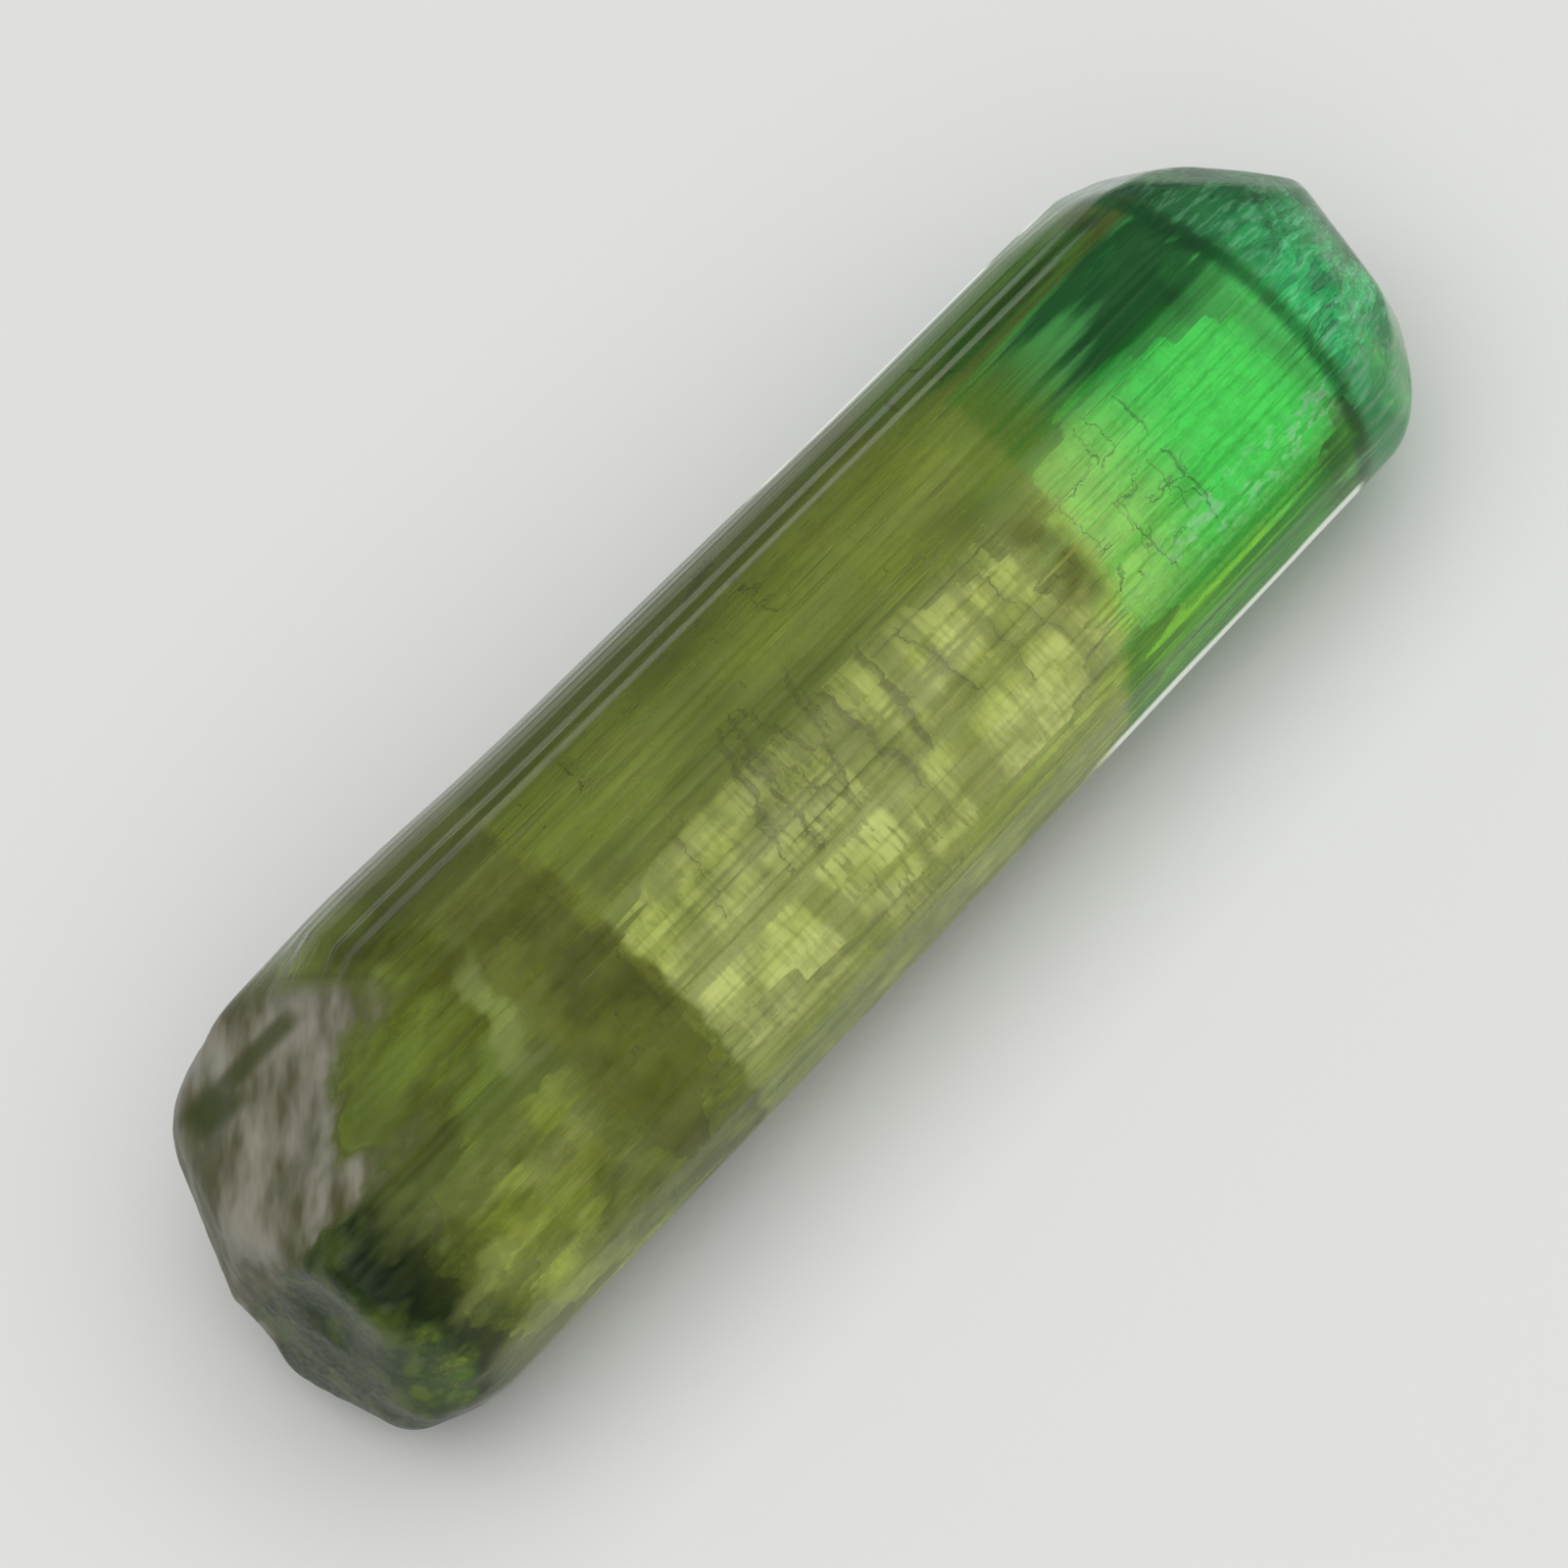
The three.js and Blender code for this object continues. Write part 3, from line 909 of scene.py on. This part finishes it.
class TOURMALINE_OT_veils(bpy.types.Operator):
    """Builds the wide veils that lie along the broad face, at several depths"""

    bl_idname = "tourmaline.veils"
    bl_label = "Veils"

    def execute(self, context):
        settings = context.scene.tourmaline_inclusions
        dice = random.Random(settings.seed + 200)
        along = Vector((1, 0, 0))
        for name, material, x, across, up, half_sizes in (
            ("window_veil_1", window_material((0.0, 0.0, 0.0)), -0.1, 1.5, 2.4, (7.0, 2.3)),
            ("window_veil_2", window_material((3.3, 1.7, 0.4)), 0.0, 1.6, 1.2, (6.9, 2.4)),
            ("haze_veil", haze_material((0.0, 0.0, 0.0)), -1.5, -1.1, 1.8, (12.0, 2.3)),
            ("emerald_veil", glow_material(), 10.4, 1.5, 1.6, (4.3, 2.4)),
            ("tip_veil", silk_material(), 15.0, 0.4, 0.6, (1.5, 2.3)),
            ("brown_veil", brown_material(), -8.2, 0.6, 1.6, (2.2, 3.2)),
            ("lower_veil_1", lower_material((0.0, 0.0, 0.0)), -11.2, 2.5, 0.4, (3.6, 1.7)),
            ("lower_veil_2", lower_material((4.0, 1.0, 2.0)), -2.5, 2.6, -0.6, (9.2, 1.7)),
        ):
            sheet(
                name,
                inside(x, across, up),
                along,
                ACROSS,
                half_sizes,
                wave=0.14,
                ragged=0.22,
                dice=dice,
                material=material,
                settings=settings,
            )
        return {"FINISHED"}


class TOURMALINE_OT_cross_fractures(bpy.types.Operator):
    """Builds the healed fractures that lie across the prism"""

    bl_idname = "tourmaline.cross_fractures"
    bl_label = "Cross fractures"

    def execute(self, context):
        settings = context.scene.tourmaline_inclusions
        dice = random.Random(settings.seed)
        film = healed_material()
        for i in range(settings.cross_count):
            x = -5.4 + 12.0 * (i + dice.uniform(-0.3, 0.3)) / (settings.cross_count - 1)
            centre = inside(x, dice.uniform(0.9, 1.8), dice.uniform(-0.6, 0.4))
            sheet(
                f"cross_fracture_{i + 1:02d}",
                centre,
                ACROSS + Vector((dice.uniform(-0.16, 0.16), 0, 0)),
                UPWARD + Vector((dice.uniform(-0.25, 0.1), 0, 0)),
                (dice.uniform(0.9, 1.6), dice.uniform(1.2, 2.0)),
                wave=0.16,
                ragged=0.5,
                dice=dice,
                material=film,
                settings=settings,
            )
        return {"FINISHED"}


class TOURMALINE_OT_cracks(bpy.types.Operator):
    """Builds the fine dark cracks: across the middle, in the emerald zone and at the edges"""

    bl_idname = "tourmaline.cracks"
    bl_label = "Cracks"

    def execute(self, context):
        settings = context.scene.tourmaline_inclusions
        dice = random.Random(settings.seed + 100)
        quarter = math.pi / 2
        across_middle = [
            crack(dice, x, across, up, quarter + lean, length, 0.17, depth)
            for x, across, up, lean, length, depth in (
                (-4.2, 0.2, 2.6, 0.25, 2.4, 0.5),
                (-2.6, 0.9, 2.6, 0.35, 1.5, 0.4),
                (-2.1, -0.4, 2.7, 0.3, 2.6, 0.55),
                (-1.8, 0.5, 2.6, 0.1, 2.8, 0.6),
                (-1.5, -0.8, 2.8, 0.2, 1.8, 0.5),
                (-1.1, 0.2, 2.7, -0.25, 2.6, 0.55),
                (-0.8, -0.6, 2.8, -0.3, 2.0, 0.45),
                (-0.2, 0.1, 2.6, 0.3, 3.4, 0.55),
                (0.2, -0.7, 2.8, 0.15, 1.6, 0.5),
                (0.6, 0.9, 2.5, -0.1, 3.0, 0.6),
                (1.6, 0.7, 2.6, 0.15, 2.8, 0.5),
                (3.0, 1.0, 2.4, -0.15, 2.6, 0.5),
                (4.4, 1.6, 2.2, 0.1, 2.2, 0.4),
                (5.2, 1.2, 2.4, -0.2, 2.6, 0.5),
                (0.9, -3.9, 1.6, -2.1, 1.3, 0.25),
                (0.5, -3.7, 1.7, -2.0, 1.0, 0.3),
                (6.6, -3.5, 1.9, 0.3, 0.5, 0.2),
                (7.7, -3.7, 1.7, -0.5, 0.4, 0.2),
            )
        ]
        dark = dark_material("dark_crack", (0.06, 0.06, 0.012), (0.15, 0.15, 0.04), 0.75)
        joined(across_middle, "cracks_across_middle", dark)
        lengthwise = [
            crack(dice, x, across, up, 0.0, length, 0.05, depth)
            for x, across, up, length, depth in (
                (-2.3, 0.86, 2.6, 6.4, 0.3),
                (0.0, 2.75, 1.9, 14.0, 0.25),
                (-3.3, -1.6, 2.8, 4.4, 0.2),
                (4.0, -0.2, 2.4, 4.6, 0.3),
                (10.4, -2.95, 2.0, 2.7, 0.2),
                (11.0, -0.45, 2.6, 3.4, 0.2),
                (2.4, 1.8, 2.2, 3.0, 0.25),
            )
        ]
        joined(lengthwise, "cracks_lengthwise", dark)
        net = []
        for _ in range(24):
            heading = dice.choice((0.0, quarter, quarter, 0.6, -0.7)) + dice.uniform(-0.25, 0.25)
            net.append(
                crack(
                    dice,
                    dice.uniform(7.3, 10.2),
                    dice.uniform(-0.2, 2.7),
                    dice.uniform(2.0, 2.9),
                    heading,
                    dice.uniform(0.4, 1.4),
                    0.12,
                    dice.uniform(0.06, 0.2),
                )
            )
        green = dark_material("green_crack", (0.03, 0.16, 0.015), (0.07, 0.28, 0.03), 0.75)
        joined(net, "cracks_in_emerald", green)
        flecks = []
        for _ in range(34):
            flecks.append(
                crack(
                    dice,
                    dice.uniform(-9.0, 8.0),
                    dice.choice((dice.uniform(-3.3, -2.2), dice.uniform(-1.2, 2.6))),
                    dice.uniform(1.2, 2.3),
                    dice.uniform(-0.6, 0.9),
                    dice.uniform(0.2, 0.9),
                    0.16,
                    dice.uniform(0.03, 0.12),
                )
            )
        joined(flecks, "flecks", dark)
        return {"FINISHED"}


class TOURMALINE_OT_needles(bpy.types.Operator):
    """Builds the fine growth needles and the small grains"""

    bl_idname = "tourmaline.needles"
    bl_label = "Needles and grains"

    def execute(self, context):
        settings = context.scene.tourmaline_inclusions
        dice = random.Random(settings.seed + 300)
        pale = veil_nodes(*plain_film("pale_needle", (0.50, 0.56, 0.22), (0.85, 0.90, 0.55)))
        dark = veil_nodes(*plain_film("dark_needle", (0.05, 0.06, 0.01), (0.12, 0.14, 0.03)))
        glint = veil_nodes(*plain_film("sparkle_grain", (0.35, 0.85, 0.40), (0.85, 1.0, 0.85)))

        def needles(count, x_range, across_range):
            return [
                placed(
                    dice.uniform(*x_range),
                    dice.uniform(*across_range),
                    dice.uniform(0.4, 2.6),
                    (dice.uniform(0.8, 6.0), dice.uniform(0.02, 0.045), 0.03),
                    dice.uniform(-0.012, 0.012),
                    dice.uniform(-0.03, 0.03),
                )
                for _ in range(count)
            ]

        copies(needle(), "pale_needles", needles(46, (-8.5, 9.5), (-3.2, 3.3)), pale)
        copies(needle(), "dark_needles", needles(40, (-8.5, 11.0), (-3.3, 3.4)), dark)
        # Pale grains in the emerald zone, which stand in for painted sparkle.
        specks = [
            placed(
                dice.uniform(8.2, 13.2),
                dice.gauss(3.0, 0.25),
                dice.uniform(0.6, 1.6),
                (dice.uniform(0.05, 0.22), dice.uniform(0.03, 0.08), 0.04),
                dice.uniform(-0.2, 0.2),
            )
            for _ in range(70)
        ]
        copies(grain(), "emerald_grains", specks, glint)
        dots = [
            placed(
                dice.uniform(-8.0, 9.0),
                dice.uniform(-3.3, 3.0),
                dice.uniform(0.8, 2.4),
                (dice.uniform(0.04, 0.14), dice.uniform(0.03, 0.09), 0.05),
                dice.uniform(-1.5, 1.5),
            )
            for _ in range(60)
        ]
        copies(grain(), "dark_grains", dots, dark)
        return {"FINISHED"}


# -------------------------------------------------------------------- the stage


def softbox(place, side, power, lit):
    """A square soft light over the crystal, aimed at the middle of the stage.

    What is sealed in the crystal gets its light through the skin, so only the named pieces
    look for the softbox directly.
    """
    lamp = bpy.data.lights.new("softbox", "AREA")
    lamp.shape = "SQUARE"
    lamp.size = side
    lamp.energy = power
    rig = bpy.data.objects.new("softbox", lamp)
    rig.location = place
    rig.visible_camera = False
    rig.visible_glossy = False
    rig.rotation_euler = (-Vector(place)).to_track_quat("-Z", "Y").to_euler()
    bpy.context.scene.collection.objects.link(rig)
    directly_lit = bpy.data.collections.new("lit_by_softbox")
    for name in lit:
        directly_lit.objects.link(bpy.data.objects[name])
    rig.light_linking.receiver_collection = directly_lit


def floor_material(tone):
    """Plain matt paper, very slightly mottled."""
    n = Nodes("pale_surface")
    mottle = n.noise((60, 60, 60), 0.0)
    colour = n.mix(n.span(mottle, 0.3, 0.7), tone, tuple(0.97 * c for c in tone))
    paper = n.add("BsdfPrincipled", {"Base Color": colour, "Roughness": 0.7})
    return n.finish(paper.outputs["BSDF"])


def camera(settings):
    """Looks down on the crystal, turned so that the crystal lies across the frame."""
    azimuth, elevation, roll = math.radians(-25), math.radians(60), math.radians(23.7)
    right = Vector((math.cos(azimuth), math.sin(azimuth), 0))
    up = Vector(
        (
            -math.sin(azimuth) * math.sin(elevation),
            math.cos(azimuth) * math.sin(elevation),
            math.cos(elevation),
        )
    )
    back = right.cross(up)
    turned = Matrix(
        (
            right * math.cos(roll) - up * math.sin(roll),
            right * math.sin(roll) + up * math.cos(roll),
            back,
        )
    ).transposed()
    lens = bpy.data.cameras.new("camera")
    lens.lens = settings.lens
    lens.clip_start = 0.005
    rig = bpy.data.objects.new("camera", lens)
    aim = Vector((-0.869, -0.398, 4.402)) * MM
    rig.matrix_world = Matrix.Translation(aim + back * settings.distance) @ turned.to_4x4()
    bpy.context.scene.collection.objects.link(rig)
    bpy.context.scene.camera = rig


class TOURMALINE_OT_stage(bpy.types.Operator):
    """Builds the pale surface, the lights and the camera"""

    bl_idname = "tourmaline.stage"
    bl_label = "Stage"

    def execute(self, context):
        settings = context.scene.tourmaline_stage
        bpy.ops.object.select_all(action="DESELECT")
        bpy.ops.mesh.primitive_plane_add(size=3.0, location=(0, 0, -0.02 * MM))
        floor = context.object
        floor.name = "pale_surface"
        floor.data.materials.append(floor_material(settings.floor_tone))
        world = bpy.data.worlds.new("studio")
        world.use_nodes = True
        background = world.node_tree.nodes["Background"]
        background.inputs["Color"].default_value = (0.93, 0.96, 1.0, 1)
        background.inputs["Strength"].default_value = 0.42
        context.scene.world = world
        context.scene.view_settings.view_transform = "Standard"
        # A light tree only pays off with many lamps.
        context.scene.cycles.use_light_tree = False
        softbox((0.0, -0.15, 0.7), 1.5, 14.2, (SKIN, "pale_surface"))
        camera(settings)
        return {"FINISHED"}


class TOURMALINE_PT_panel(bpy.types.Panel):
    """Lists the pieces of the crystal and the stage"""

    bl_idname = "TOURMALINE_PT_panel"
    bl_label = "Tourmaline crystal"
    bl_space_type = "VIEW_3D"
    bl_region_type = "UI"
    bl_category = "Tourmaline"

    def draw(self, context):
        layout = self.layout
        for owner in (
            context.scene.tourmaline_crystal,
            context.scene.tourmaline_inclusions,
            context.scene.tourmaline_stage,
        ):
            box = layout.box()
            for name in owner.bl_rna.properties.keys():
                if name not in ("rna_type", "name"):
                    box.prop(owner, name)
        for operator in OPERATORS:
            layout.operator(operator.bl_idname)


OPERATORS = (
    TOURMALINE_OT_crystal,
    TOURMALINE_OT_veils,
    TOURMALINE_OT_cross_fractures,
    TOURMALINE_OT_cracks,
    TOURMALINE_OT_needles,
    TOURMALINE_OT_stage,
)
CLASSES = (CrystalSettings, InclusionSettings, StageSettings, *OPERATORS, TOURMALINE_PT_panel)


def register():
    for cls in CLASSES:
        bpy.utils.register_class(cls)
    bpy.types.Scene.tourmaline_crystal = PointerProperty(type=CrystalSettings)
    bpy.types.Scene.tourmaline_inclusions = PointerProperty(type=InclusionSettings)
    bpy.types.Scene.tourmaline_stage = PointerProperty(type=StageSettings)


def unregister():
    del bpy.types.Scene.tourmaline_stage
    del bpy.types.Scene.tourmaline_inclusions
    del bpy.types.Scene.tourmaline_crystal
    for cls in reversed(CLASSES):
        bpy.utils.unregister_class(cls)


def main():
    register()
    bpy.ops.tourmaline.crystal()
    bpy.ops.tourmaline.veils()
    bpy.ops.tourmaline.cross_fractures()
    bpy.ops.tourmaline.cracks()
    bpy.ops.tourmaline.needles()
    bpy.ops.tourmaline.stage()


if __name__ == "__main__":
    main()
